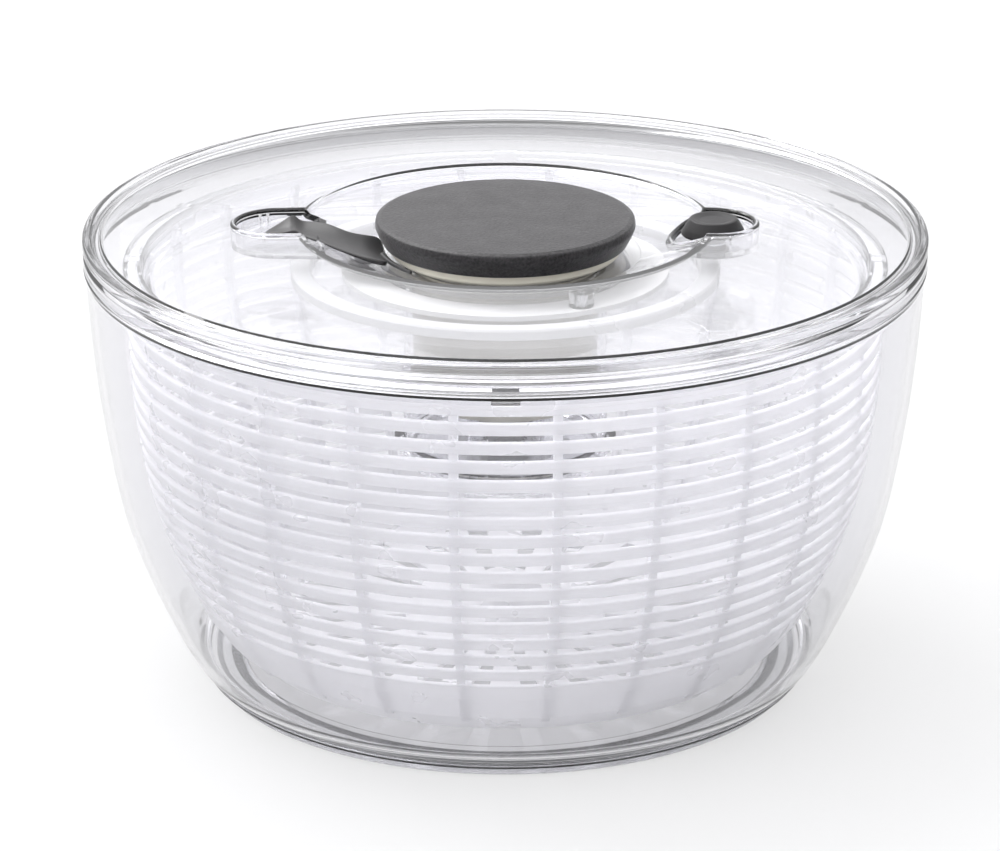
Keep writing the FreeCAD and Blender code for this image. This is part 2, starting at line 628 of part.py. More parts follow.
def make_cup_base():
    """The flared dish that closes the cup and holds the clutch."""
    inner = "cup_radius - cup_wall"
    return turned("drive_cup_base", [
        ("0", "cup_base_low"), ("cup_radius - 12", "cup_base_low", "11"), ("cup_radius", "cup_base_low + 9"),
        ("cup_base_radius", "cup_base_low + 11"), ("cup_base_radius", "cup_bottom"), (inner, "cup_bottom"),
        (inner, "ratchet_high + 1.4"), (inner + " - 1.4", "ratchet_high + 1.4"),
        (inner + " - 1.4", "cup_base_low + 8", "-9"),
        ("cup_radius - 12", "cup_base_low + 1.8"), ("2.46", "cup_base_low + 1.8"), ("2.46", "cup_base_low + 1.1"),
        ("0", "cup_base_low + 1.1"),
    ])


def make_clutch_cover():
    """The clear plate over the clutch with the core tube that guides the return spring."""
    low = "ratchet_high + 1.5"
    return turned("clutch_cover", [
        ("spindle_radius + 1", low), ("cup_radius - cup_wall - 0.1", low),
        ("cup_radius - cup_wall - 0.1", low + " + 1.8"), ("core_radius", low + " + 1.8"),
        ("core_radius", "disc_low - 2"), ("core_radius - 1.2", "disc_low - 2"),
        ("core_radius - 1.2", low + " + 1.8"), ("spindle_radius + 1", low + " + 1.8"),
    ])


def make_spring_seat():
    """The washer that the return spring stands on."""
    return turned("spring_seat", ring("spindle_radius + 1.6", "core_radius - 1.5", "ratchet_high + 3.4", "76.6"))


def make_drive_disc():
    """The disc that caps the basket's rim and turns it by four lugs."""
    body = new_body("drive_disc")
    web = "disc_low + disc_web"
    cap_low = "basket_top + gap"
    revolve(body, [[
        ("cup_radius", "disc_low"), ("disc_radius - 8.6", "disc_low"),
        ("disc_radius - 4.9", "disc_low + 3"), ("disc_radius - 4.9", cap_low),
        ("disc_radius - 1.3", cap_low), ("disc_radius - 1.3", "disc_high - 5"),
        ("disc_radius", "disc_high - 5"), ("disc_radius", "disc_high - 0.8"),
        ("disc_radius - 0.8", "disc_high"), ("disc_radius - 5.4", "disc_high"),
        ("disc_radius - 6.2", "disc_high - 0.8"), ("disc_radius - 6.2", "disc_low + 3.4"),
        ("disc_radius - 9.2", web), ("cup_radius + 3", web), ("cup_radius + 3", "bearing_low - 0.3"),
        ("cup_radius", "bearing_low - 0.3"),
    ]])
    lug = extrude(body, lambda sketch: draw_lug(sketch, "lug_width / 2", "disc_radius - 5", "disc_radius - 1"),
                  "basket_top - 2.4", "3.2")
    around(body, lug, LUG_COUNT)
    rib = extrude(body, lambda sketch: draw_lug(sketch, "0.7", "track_radius + 1", "disc_radius - 7"),
                  web + " - 0.2", "1.6")
    around(body, rib, RIB_COUNT)
    return body


def make_retaining_clip():
    """The open clip in the cup's groove that holds the disc up."""
    body = new_body("retaining_clip")
    revolve(body, [ring("cup_radius - 0.7", "cup_radius + 2", "disc_low - 1.5 - 1.5", "disc_low - 1.8")])
    extrude(body, lambda sketch: draw_lug(sketch, "3", "cup_radius - 3", "cup_radius + 4"),
            "disc_low", "5", cut=True)
    return body


def make_brake_track():
    """The raised ring on the disc that the brake pad rubs on."""
    return turned("brake_track", [
        ("track_radius - track_width", "disc_low + disc_web"), ("track_radius", "disc_low + disc_web"),
        ("track_radius", "track_high - 0.6"), ("track_radius - 0.6", "track_high"),
        ("track_radius - track_width + 0.6", "track_high"), ("track_radius - track_width", "track_high - 0.6"),
    ])


def make_brake_button():
    """The black button of the brake: a cone with a slightly dished top, hollow below."""
    return turned("brake_button", [
        ("stem_radius", "brake_top - 3.4"), ("brake_base_radius - 2.6", "brake_top - 3.4"),
        ("brake_base_radius - 1.8", "brake_skirt"), ("brake_base_radius", "brake_skirt"),
        ("brake_base_radius", "brake_skirt + 1.8"), ("brake_top_radius + 0.7", "brake_top - 0.6", "1.1"),
        ("brake_top_radius - 0.4", "brake_top"), ("0", "brake_top - 0.7"), ("0", "brake_top - 1.6"),
        ("stem_radius", "brake_top - 1.6"),
    ], "brake_across")


def make_brake_stem():
    """The stem that carries the button's push through the ear's floor to the pad."""
    return turned("brake_stem", [
        ("0", "stem_bottom"), ("stem_radius", "stem_bottom"), ("stem_radius", "brake_top - 1.6"),
        ("0", "brake_top - 1.6"),
    ], "brake_across")


def make_brake_pad():
    """The rubber pad under the stem."""
    return turned("brake_pad", [
        ("0", "pad_bottom"), ("pad_radius - 0.4", "pad_bottom"), ("pad_radius", "pad_bottom + 0.4"),
        ("pad_radius", "stem_bottom"), ("0", "stem_bottom"),
    ], "brake_across")


def make_lock_lever():
    """The black lever: a thumb tab in its ear, an arm that follows the sunk middle, and a blade round the
    knob's flange. It is the part of a turned section that lies inside the lever's plan."""
    slope = "((lid_crown - dish_step - well_floor) / (dish_radius - well_radius))"
    under = f"well_floor + 2 * gap + (lever_ear_start - well_radius) * {slope}"
    tab_low = "lid_top - 3.5"
    section = new_body("lever_section")
    revolve(section, [[
        ("blade_radius", "blade_bottom"), ("well_radius - 0.2", "blade_bottom"),
        ("lever_ear_start", under), ("lever_ear_start + 2.5", under), ("66", tab_low), ("76.6", tab_low),
        ("77.8", "lid_top - 1.4"), ("70", "lid_crown"), ("68.2", "lid_crown + 1.3"),
        ("66.2", "lid_crown + 1.3"), ("63", "lid_crown"), ("52", under + " + 0.4"),
        ("well_radius + 1", "knob_bottom + 1.9"), ("well_radius - 0.5", "knob_bottom + 0.8"),
        ("well_radius - 1.2", "knob_bottom - 0.6"), ("blade_radius", "knob_bottom - 0.6"),
    ]])
    plan = new_body("lever_plan")
    extrude(plan, draw_lever, "well_floor - 2", "20")
    lever = doc.addObject("Part::Common", "lock_lever")
    lever.Label = "lock_lever"
    lever.Base = section
    lever.Tool = plan
    return lever


def draw_lever(sketch):
    """The lever seen from above, from the thumb tab to the blade that curls round the knob's flange."""
    add_loop(sketch, [
        ("-77.6", "-3.6"), ("-78.4", "-1.4"), ("-76", "1.6"), ("-67.6", "4.6"), ("-59.6", "3.8", "-60"),
        ("-36", "-9"), ("-29", "-25"), ("-32.5", "-30"), ("-39.5", "-18.6", "-60"), ("-60.4", "-9.4"),
        ("-67", "-4"),
    ])


SUB_PARTS = [
    make_bowl(), make_base_ring(), make_pivot_pin(), make_basket(),
    make_lid_cover(), make_bearing_ring(), make_bearing_screws(),
    make_knob_cap(), make_knob_base(), make_plunger_tube(), make_follower_nut(), make_follower_pins(),
    coil("return_spring", "spring_radius", "spring_wire", "spring_low", "spring_high", "spring_turns"),
    make_spindle(), make_ratchet_wheel(), make_thrust_washer(),
    make_pawls(), make_drive_cup(), make_cup_base(), make_clutch_cover(), make_spring_seat(),
    make_drive_disc(), make_retaining_clip(), make_brake_track(),
    make_brake_button(), make_brake_stem(), make_brake_pad(),
    coil("brake_spring", "stem_radius + 1.6", "brake_wire", "ear_floor + 0.1", "brake_top - 3.8",
         "brake_turns", "brake_across"),
    make_lock_lever(),
]

doc.recompute()

failed = [item.Label for item in doc.Objects if {"Invalid", "Error"} & set(item.State)]
for part in SUB_PARTS:
    if part.Shape.isNull() or not part.Shape.isValid() or part.Shape.Volume <= 0:
        failed.append(part.Label)
if failed:
    raise RuntimeError("these did not build: " + ", ".join(failed))

os.makedirs("parts", exist_ok=True)
for part in SUB_PARTS:
    part.Shape.exportStep(f"parts/{part.Label}.step")
    box = part.Shape.BoundBox
    print(f"{part.Label}: {len(part.Shape.Solids)} solids, {part.Shape.Volume / 1000:.2f} cm3, "
          f"x {box.XMin:.1f}..{box.XMax:.1f}, y {box.YMin:.1f}..{box.YMax:.1f}, z {box.ZMin:.1f}..{box.ZMax:.1f}")
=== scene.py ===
"""Looks of the clear salad spinner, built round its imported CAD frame. +Z is up, the lock lever towards -X.

Sizes and outlines are in millimetres, and MM turns them into Blender's metres.
"""

import json
import math

import bmesh
import bpy
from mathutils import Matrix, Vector


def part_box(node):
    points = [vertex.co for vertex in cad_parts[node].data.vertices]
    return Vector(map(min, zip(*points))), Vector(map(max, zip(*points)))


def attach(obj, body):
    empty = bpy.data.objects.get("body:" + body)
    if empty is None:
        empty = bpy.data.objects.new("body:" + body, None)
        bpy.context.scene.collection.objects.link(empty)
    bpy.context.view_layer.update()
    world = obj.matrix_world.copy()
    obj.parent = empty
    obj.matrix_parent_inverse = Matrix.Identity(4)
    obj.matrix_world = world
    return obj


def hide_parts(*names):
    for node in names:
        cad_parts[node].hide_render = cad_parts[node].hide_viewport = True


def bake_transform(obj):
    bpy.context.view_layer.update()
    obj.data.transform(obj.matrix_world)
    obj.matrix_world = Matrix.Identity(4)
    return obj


MM = 0.001
AROUND = 360
ON_AXIS = 1e-6

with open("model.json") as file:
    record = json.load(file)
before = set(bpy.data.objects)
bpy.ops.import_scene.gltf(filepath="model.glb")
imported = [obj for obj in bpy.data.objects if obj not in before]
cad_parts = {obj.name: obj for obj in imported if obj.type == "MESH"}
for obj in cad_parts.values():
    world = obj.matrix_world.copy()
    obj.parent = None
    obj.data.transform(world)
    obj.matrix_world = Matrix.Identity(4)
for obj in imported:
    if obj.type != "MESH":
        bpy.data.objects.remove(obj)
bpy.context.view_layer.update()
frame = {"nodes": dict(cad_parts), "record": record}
scene = bpy.context.scene


def top_of(node):
    """The highest point of a CAD node, in millimetres."""
    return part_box(node)[1].z / MM


def low_of(node):
    """The lowest point of a CAD node, in millimetres."""
    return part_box(node)[0].z / MM


def reach_of(node):
    """How far a CAD node reaches towards +X, in millimetres: the radius of a piece centred on the axis."""
    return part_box(node)[1].x / MM


# ---------------------------------------------------------------- outlines and meshes


def spot(x, y, z):
    """A point in metres from millimetres."""
    return x * MM, y * MM, z * MM


def turned(x, y, turn):
    """A point of the plan turned about Z by an angle in radians."""
    return x * math.cos(turn) - y * math.sin(turn), x * math.sin(turn) + y * math.cos(turn)


def shade(piece, sharp=40):
    """Shades a piece smooth except across edges sharper than an angle in degrees."""
    piece.data.shade_smooth()
    piece.data.set_sharp_from_angle(angle=math.radians(sharp))


def mesh_object(name, bm, sharp=40):
    """An object from a bmesh, with its faces turned outwards."""
    bmesh.ops.recalc_face_normals(bm, faces=bm.faces)
    mesh = bpy.data.meshes.new(name)
    bm.to_mesh(mesh)
    bm.free()
    piece = bpy.data.objects.new(name, mesh)
    shade(piece, sharp)
    scene.collection.objects.link(piece)
    return piece


def join_meshes(name, parts, sharp=40):
    """One object from several (vertices, faces) pairs."""
    bm = bmesh.new()
    made = [[bm.verts.new(vertex) for vertex in verts] for verts, _ in parts]
    for verts, (_, faces) in zip(made, parts):
        for face in faces:
            bm.faces.new([verts[index] for index in face])
    return mesh_object(name, bm, sharp)


def rounded(corners, steps=4):
    """An outline whose corners (across, up, radius) are rounded where a radius is given."""
    points = []
    for i, corner in enumerate(corners):
        here = Vector(corner[:2])
        if len(corner) == 2:
            points.append(here)
            continue
        before = Vector(corners[i - 1][:2]) - here
        after = Vector(corners[(i + 1) % len(corners)][:2]) - here
        half = before.angle(after) / 2
        cut = min(corner[2] / math.tan(half), before.length * 0.48, after.length * 0.48)
        start, end = here + before.normalized() * cut, here + after.normalized() * cut
        for k in range(steps + 1):
            t = k / steps
            points.append(start * (1 - t) ** 2 + here * 2 * t * (1 - t) + end * t**2)
    return points


def curve_through(points, steps=8):
    """A smooth line through (radius, height) points, as a Catmull-Rom spline."""
    ends = [points[0], *points, points[-1]]
    line = []
    for a, b, c, d in zip(ends, ends[1:], ends[2:], ends[3:]):
        a, b, c, d = Vector(a), Vector(b), Vector(c), Vector(d)
        for k in range(steps):
            t = k / steps
            line.append((
                2 * b + (c - a) * t + (2 * a - 5 * b + 4 * c - d) * t**2 + (3 * b - a - 3 * c + d) * t**3
            ) / 2)
    line.append(Vector(points[-1]))
    return line


def revolve(outline, around=AROUND, across=0.0):
    """Vertices and faces of a closed (radius, height) outline turned about an axis at X = across."""
    verts, rings, faces = [], [], []
    for radius, height in outline:
        count = 1 if radius < ON_AXIS else around
        rings.append(range(len(verts), len(verts) + count))
        for k in range(count):
            turn = math.tau * k / around
            verts.append(spot(across + radius * math.cos(turn), radius * math.sin(turn), height))
    for first, second in zip(rings, rings[1:] + rings[:1]):
        if len(first) == len(second) == 1:
            continue
        for k in range(around):
            n = (k + 1) % around
            near = (first[k % len(first)], first[n % len(first)])
            far = (second[n % len(second)], second[k % len(second)])
            faces.append(tuple(dict.fromkeys(near + far)))
    return verts, faces


def lathe(name, outline, around=AROUND, across=0.0):
    """An object from a closed (radius, height) outline turned about an upright axis."""
    return join_meshes(name, [revolve(outline, around, across)])


def loft(rings, closed=False):
    """Vertices and faces of a skin over rings of points, with end caps unless it closes on itself."""
    count = len(rings[0])
    verts = [point for ring in rings for point in ring]
    faces = []
    for i in range(len(rings) if closed else len(rings) - 1):
        here, there = i * count, (i + 1) % len(rings) * count
        for j in range(count):
            n = (j + 1) % count
            faces.append((here + j, here + n, there + n, there + j))
    if not closed:
        faces += [tuple(range(count))[::-1], tuple(range(len(verts) - count, len(verts)))]
    return verts, faces


def prism(name, outline, low, high):
    """An object from an outline of (x, y) between two heights."""
    count = len(outline)
    verts = [spot(x, y, z) for z in (low, high) for x, y in outline]
    faces = [tuple(range(count))[::-1], tuple(range(count, 2 * count))]
    for i in range(count):
        n = (i + 1) % count
        faces.append((i, n, count + n, count + i))
    return join_meshes(name, [(verts, faces)])


def circle(radius, across, count=96):
    """Points of a circle round X = across."""
    return [
        (across + radius * math.cos(math.tau * k / count), radius * math.sin(math.tau * k / count))
        for k in range(count)
    ]


def lug_outline(half, inner, outer, turn):
    """A rectangle that points away from the axis at an angle, from above."""
    return [turned(x, y, turn) for x, y in ((inner, -half), (outer, -half), (outer, half), (inner, half))]


def carve(piece, tool, operation):
    """Joins a tool to a piece or cuts it out, and removes the tool."""
    step = piece.modifiers.new("carve", "BOOLEAN")
    step.object = tool
    step.operation = operation
    step.solver = "EXACT"
    bpy.context.view_layer.update()
    made = bpy.data.meshes.new_from_object(piece.evaluated_get(bpy.context.evaluated_depsgraph_get()))
    piece.modifiers.clear()
    old, piece.data = piece.data, made
    bpy.data.meshes.remove(old)
    bpy.data.objects.remove(tool)


# ---------------------------------------------------------------- materials


def link(material, source, target):
    """Joins two sockets of a material's nodes."""
    material.node_tree.links.new(source, target)


def surface(name, colour, roughness, **sockets):
    """A Principled material. sockets are more of the shader's inputs, with underscores for spaces."""
    material = bpy.data.materials.new(name)
    material.use_nodes = True
    shader = material.node_tree.nodes["Principled BSDF"]
    shader.inputs["Base Color"].default_value = (*colour, 1)
    shader.inputs["Roughness"].default_value = roughness
    for socket, number in sockets.items():
        shader.inputs[socket.replace("_", " ")].default_value = number
    return material


def pattern(material, scale, detail=2.0, stretch=(1, 1, 1)):
    """Noise in the piece's own space; scale is in cells per metre."""
    nodes = material.node_tree.nodes
    place = nodes.new("ShaderNodeTexCoord")
    mapping = nodes.new("ShaderNodeMapping")
    mapping.inputs["Scale"].default_value = stretch
    texture = nodes.new("ShaderNodeTexNoise")
    texture.inputs["Scale"].default_value = scale
    texture.inputs["Detail"].default_value = detail
    link(material, place.outputs["Object"], mapping.inputs["Vector"])
    link(material, mapping.outputs["Vector"], texture.inputs["Vector"])
    return texture.outputs["Fac"]


def between(material, fac, low, high, start=0.3, end=0.7):
    """Maps a pattern to a range of numbers."""
    node = material.node_tree.nodes.new("ShaderNodeMapRange")
    for socket, number in (("From Min", start), ("From Max", end), ("To Min", low), ("To Max", high)):
        node.inputs[socket].default_value = number
    link(material, fac, node.inputs["Value"])
    return node.outputs["Result"]


def vary_roughness(material, fac, low, high):
    """The roughness wanders between two numbers."""
    shader = material.node_tree.nodes["Principled BSDF"]
    link(material, between(material, fac, low, high), shader.inputs["Roughness"])


def vary_colour(material, fac, first, second):
    """The base colour wanders between two colours."""
    node = material.node_tree.nodes.new("ShaderNodeMix")
    node.data_type = "RGBA"
    node.inputs["A"].default_value = (*first, 1)
    node.inputs["B"].default_value = (*second, 1)
    link(material, between(material, fac, 0, 1), node.inputs["Factor"])
    link(material, node.outputs["Result"], material.node_tree.nodes["Principled BSDF"].inputs["Base Color"])


def grain(material, fac, depth):
    """Relief of a depth in millimetres."""
    node = material.node_tree.nodes.new("ShaderNodeBump")
    node.inputs["Strength"].default_value = 1
    node.inputs["Distance"].default_value = depth * MM
    link(material, fac, node.inputs["Height"])
    link(material, node.outputs["Normal"], material.node_tree.nodes["Principled BSDF"].inputs["Normal"])


def let_light_in(material, tint, shader=None):
    """Lamps shine through the material as if it were a clear film of a tint."""
    nodes = material.node_tree.nodes
    shader = shader or nodes["Principled BSDF"].outputs["BSDF"]
    ray = nodes.new("ShaderNodeLightPath")
    film = nodes.new("ShaderNodeBsdfTransparent")
    film.inputs["Color"].default_value = (*tint, 1)
    mix = nodes.new("ShaderNodeMixShader")
    link(material, ray.outputs["Is Shadow Ray"], mix.inputs["Fac"])
    link(material, shader, mix.inputs[1])
    link(material, film.outputs["BSDF"], mix.inputs[2])
    link(material, mix.outputs["Shader"], nodes["Material Output"].inputs["Surface"])


def clear_plastic(name, colour, low=0.01, high=0.03, tint=0.93):
    """Water-clear moulded plastic with faint flow marks."""
    material = surface(name, colour, low, Transmission_Weight=1.0, IOR=1.49)
    vary_roughness(material, pattern(material, 30, 3), low, high)
    grain(material, pattern(material, 18, 1), 0.0006)
    let_light_in(material, (tint,) * 3)
    return material


def frosted_plastic(name, colour, warm, roughness, clear, milk, tint):
    """Milky moulded plastic: part lit from both sides, part blurred view of what is behind."""
    material = surface(name, colour, roughness, Transmission_Weight=clear, IOR=1.35)
    nodes = material.node_tree.nodes
    vary_colour(material, pattern(material, 25, 3), colour, warm)
    vary_roughness(material, pattern(material, 60, 3), roughness * 0.85, roughness * 1.2)
    grain(material, pattern(material, 900, 2), 0.01)
    glow = nodes.new("ShaderNodeBsdfTranslucent")
    glow.inputs["Color"].default_value = (*colour, 1)
    mix = nodes.new("ShaderNodeMixShader")
    mix.inputs["Fac"].default_value = milk
    link(material, nodes["Principled BSDF"].outputs["BSDF"], mix.inputs[1])
    link(material, glow.outputs["BSDF"], mix.inputs[2])
    let_light_in(material, (tint,) * 3, mix.outputs["Shader"])
    return material


def moulded_plastic(name, colour, other, roughness, grain_scale=1500, grain_depth=0.02, **sockets):
    """Opaque moulded plastic with a fine grain."""
    material = surface(name, colour, roughness, **sockets)
    vary_colour(material, pattern(material, 40, 4), colour, other)
    vary_roughness(material, pattern(material, 120, 3), roughness * 0.88, roughness * 1.1)
    grain(material, pattern(material, grain_scale, 2), grain_depth)
    return material


def drawn_steel(name):
    """Bright drawn wire and turned steel, with fine marks along it."""
    material = surface(name, (0.66, 0.66, 0.67), 0.28, Metallic=1.0)
    marks = pattern(material, 900, 2, (1, 1, 0.15))
    vary_colour(material, pattern(material, 70, 3), (0.6, 0.6, 0.61), (0.74, 0.74, 0.75))
    vary_roughness(material, marks, 0.2, 0.38)
    grain(material, marks, 0.008)
    return material


LOOKS = {
    "clear_plastic": clear_plastic("clear_plastic_look", (0.925, 0.925, 0.937)),
    "soft_clear": clear_plastic("soft_clear_look", (0.92, 0.925, 0.935), 0.12, 0.25, 0.8),
    "frosted_plastic": frosted_plastic(
        "frosted_plastic_look", (0.93, 0.928, 0.945), (0.945, 0.943, 0.955), 0.3, 0.4, 0.2, 0.6),
    "translucent_white": frosted_plastic(
        "translucent_white_look", (0.76, 0.76, 0.775), (0.79, 0.79, 0.8), 0.3, 0.55, 0.15, 0.6),
    "white_plastic": moulded_plastic("white_plastic_look", (0.68, 0.68, 0.68), (0.72, 0.72, 0.72), 0.4),
    "cream_plastic": moulded_plastic("cream_plastic_look", (0.66, 0.63, 0.53), (0.7, 0.67, 0.57), 0.32),
    "black_soft": moulded_plastic(
        "black_soft_look", (0.007, 0.0065, 0.0072), (0.011, 0.010, 0.011), 0.45, 2600, 0.05,
        Specular_IOR_Level=0.3, Sheen_Weight=0.08, Sheen_Roughness=0.4),
    "brake_rubber": moulded_plastic("brake_rubber_look", (0.5, 0.5, 0.49), (0.6, 0.6, 0.58), 0.7),
    "steel": drawn_steel("steel_look"),
}
SLOT_OF = {row["node"]: row["material_slot"] for row in frame["record"]["subparts"]}
BODY_OF = {node: body for body, nodes in frame["record"]["behaviour"]["bodies"].items() for node in nodes}


def dress(piece, slot):
    """Gives a piece the look of a record slot."""
    piece.data.materials.clear()
    piece.data.materials.append(LOOKS[slot])
    return piece


def stand_for(piece, node):
    """A piece takes the place, the body and the slot of a CAD node."""
    dress(piece, SLOT_OF[node])
    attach(piece, BODY_OF[node])
    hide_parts(node)
    return piece


# ---------------------------------------------------------------- bowl

BOWL_WALL = 2.4
BOWL_FLOOR_LOW, BOWL_FLOOR_TOP = 4.2, 6.6
BOSS_TOP = 15.0
PIN_HOLE = 3.02
FOOT_RADIUS = 99.2
FOOT_STEP = 0.75


def make_bowl():
    """The clear bowl: a stepped foot, a curved wall, a banded rim, a thick floor and a centre boss."""
    rim = top_of("bowl")
    reach = reach_of("bowl")
    side = [
        (104.6, 10), (109.9, 20), (118.6, 40), (125.0, 60), (130.2, 90), (132.9, 115), (134.3, rim - 6.2),
    ]
    outer = curve_through([(101.9, 6.5), *side])
    inner = [Vector((point.x - BOWL_WALL, point.y + 0.6)) for point in curve_through(side)]
    inner = [point for point in inner if point.y < rim - 7][::-1]
    steps = []
    for k, height in enumerate((3.0, 4.2, 5.4)):
        radius = FOOT_RADIUS + FOOT_STEP * k
        steps += [(radius, height, 0.3), (radius + FOOT_STEP, height + 0.35, 0.3)]
    foot = [(88, 2.6), (98.2, 2.6, 0.4), *steps]
    band = [
        (reach - 0.05, rim - 5.6, 0.3), (reach, rim - 4.9, 0.3), (reach - 0.5, rim - 4.4, 0.2),
        (reach, rim - 3.9, 0.3), (reach, rim - 1.0, 0.6), (reach - 1.0, rim, 0.5), (131.6, rim, 0.5),
        (131.6, rim - 6.5, 1.5),
    ]
    floor = [
        (100.6, 10.2, 3), (96, BOWL_FLOOR_TOP, 3), (8.0, BOWL_FLOOR_TOP, 1.5), (6.3, 8.2, 1),
        (5.5, BOSS_TOP, 0.5), (PIN_HOLE, BOSS_TOP), (PIN_HOLE, BOWL_FLOOR_TOP), (0, BOWL_FLOOR_TOP),
        (0, BOWL_FLOOR_LOW), (86.4, BOWL_FLOOR_LOW, 1),
    ]
    outline = rounded(foot) + outer + rounded(band) + inner + rounded(floor)
    bowl = stand_for(lathe("clear_bowl", outline), "bowl")
    bowl.data.materials[0] = clear_plastic("bowl_plastic_look", (0.85, 0.848, 0.866))


def make_base_ring():
    """The soft ring under the foot, with a rounded tread and a tongue that sits in the foot's groove."""
    high, tongue = 2.6, 1.3
    stand_for(lathe("soft_base_ring", rounded([
        (88, 0.2, 0.5), (97, 0, 0.8), (97, high, 0.3), (94, high), (94, high + tongue), (91, high + tongue),
        (91, high), (88, high),
    ])), "nonslip_base_ring")


# ---------------------------------------------------------------- basket

SLATS = 15
SLAT_PITCH, SLAT_GAP = 6.1, 2.2
SLAT_THICK = 2.2
TOP_GAP = 126.5
RIBS = 24
RIB_WIDTH = 2.6
RIB_LOW, RIB_HIGH = 17.5, 131.5
BASKET_LOW, BASKET_FLOOR = 13.6, 15.4
CONE_TOP = 28.0
LUGS = 4
RIM_INNER, RIM_OUTER = 118.9, 121.3


def basket_radius(height):
    """The outer radius of the basket's wall at a height."""
    return 121.3 - 30 * (max(0.0, 130 - height) / 118) ** 2.8


def make_basket():
    """The basket: ring slats with rounded edges, upright ribs behind them, a rim, a floor and a cone."""
    parts = []
    for index in range(SLATS):
        low = TOP_GAP - (index + 1) * SLAT_PITCH + SLAT_GAP / 2
        high = low + SLAT_PITCH - SLAT_GAP
        mid = low + (high - low) * 0.45
        parts.append(revolve(rounded([
            (basket_radius(low) - SLAT_THICK, low), (basket_radius(low) - 0.35, low, 0.5),
            (basket_radius(mid) - 0.15, mid - 0.25, 0.3), (basket_radius(mid), mid, 0.2),
            (basket_radius(high) + 0.05, high, 0.7), (basket_radius(high) - SLAT_THICK, high, 0.4),
        ], 3)))
    parts.append(notched_rim(TOP_GAP + SLAT_GAP / 2))
    for k in range(RIBS):
        turn = math.tau * (k + 0.5) / RIBS
        parts += [rib(turn), floor_spoke(turn + math.pi / RIBS)]
    parts += [skirt(), centre_cone()]
    stand_for(join_meshes("slatted_basket", parts), "basket")


def skirt():
    """The plain lower wall under the slats, with a step line, and the outer ring of the floor."""
    foot, bend, step, edge = (basket_radius(height) for height in (12, 19.4, 27.6, 33.9))
    return revolve(rounded([
        (74, BASKET_LOW), (foot - 10, BASKET_LOW, 1), (foot - 7.5, 12, 0.5), (foot - 5, 12, 0.8),
        (foot - 3.6, 13.4, 1), (bend - 0.6, 19.6, 3), (step - 0.6, 27.6, 0.2),
        (basket_radius(28.2), 28.0, 0.3), (edge, 33.9, 0.6), (edge - 2.2, 33.9, 0.6),
        (step - 2.4, 27.6, 1), (bend - 2.6, 19.4, 3),
        (bend - 11, BASKET_FLOOR, 2), (74, BASKET_FLOOR, 0.5),
    ], 3))


def centre_cone():
    """The cone in the middle of the floor that turns on the bowl's pin."""
    return revolve(rounded([
        (3.06, 16.0), (7.0, 16.0, 1), (14, BASKET_LOW, 2), (33, BASKET_LOW), (33, BASKET_FLOOR, 0.5),
        (18, BASKET_FLOOR, 2), (9.5, 26.6, 2), (8, CONE_TOP, 0.8), (0.01, CONE_TOP), (0.01, 24.1),
        (3.06, 24.1),
    ], 3))


def notched_rim(low):
    """The basket's rim with a notch for each of the disc's lugs."""
    high = top_of("basket")
    rim = lathe("rim", rounded([
        (RIM_INNER, low), (RIM_OUTER - 0.3, low, 0.5), (RIM_OUTER - 0.3, low + 2.2, 0.2),
        (RIM_OUTER, low + 2.5, 0.2), (RIM_OUTER, high, 0.6), (RIM_INNER, high, 0.6),
    ], 3))
    for k in range(LUGS):
        notch = lug_outline(4.3, 117, 123, math.tau * k / LUGS)
        carve(rim, prism("notch", notch, high - 3, high + 1), "DIFFERENCE")
    verts = [tuple(vertex.co) for vertex in rim.data.vertices]
    faces = [tuple(face.vertices) for face in rim.data.polygons]
    bpy.data.objects.remove(rim)
    return verts, faces


def floor_spoke(turn):
    """One spoke of the basket's floor, from the cone's foot to the outer ring, wider further out."""
    section = (
        (-1, BASKET_LOW), (1, BASKET_LOW), (1, 15.1), (0.8, BASKET_FLOOR), (-0.8, BASKET_FLOOR), (-1, 15.1),
    )
    rings = []
    for radius in (32.0, 75.0):
        half = radius * math.tan(math.pi / RIBS) * 0.62
        rings.append([spot(*turned(radius, side * half, turn), height) for side, height in section])
    return loft(rings)


def rib(turn, levels=26):
    """One upright rib at an angle about Z, from the slats' back inwards, with its inner corners cut."""
    rings = []
    for k in range(levels + 1):
        height = RIB_LOW + (RIB_HIGH - RIB_LOW) * k / levels
        outer, inner = basket_radius(height) - 1.2, basket_radius(height) - 4.6
        section = (
            (outer, -1), (outer, 1), (inner + 0.5, 1), (inner, 0.55), (inner, -0.55), (inner + 0.5, -1),
        )
        rings.append([
            spot(*turned(radius, side * RIB_WIDTH / 2, turn), height) for radius, side in section
        ])
    return loft(rings)


def make_disc():
    """The clear disc that caps the basket: a rim over the basket's rim, four lugs and an inner collar."""
    low, high, reach = low_of("drive_disc"), top_of("drive_disc"), reach_of("drive_disc")
    rim = top_of("basket")
    cap, web, collar = rim + 0.3, low + 1.8, 131.2
    disc = lathe("clear_drive_disc", rounded([
        (33, low, 0.4), (reach - 8.6, low, 3), (reach - 4.9, low + 3, 1.5), (reach - 4.9, cap, 0.5),
        (reach - 1.3, cap, 0.3), (reach - 1.3, high - 5, 0.4), (reach, high - 5, 0.4), (reach, high, 1.2),
        (reach - 6.2, high, 1.2), (reach - 6.2, low + 3.4, 2), (reach - 9.2, web, 3), (36, web, 0.8),
        (36, collar, 0.4), (33, collar, 0.4),
    ]))
    for k in range(LUGS):
        lug = lug_outline(4, reach - 5, reach - 1, math.tau * k / LUGS)
        carve(disc, prism("lug", lug, rim - 2.4, rim + 0.8), "UNION")
    shade(disc)
    stand_for(disc, "drive_disc")


# ---------------------------------------------------------------- lid

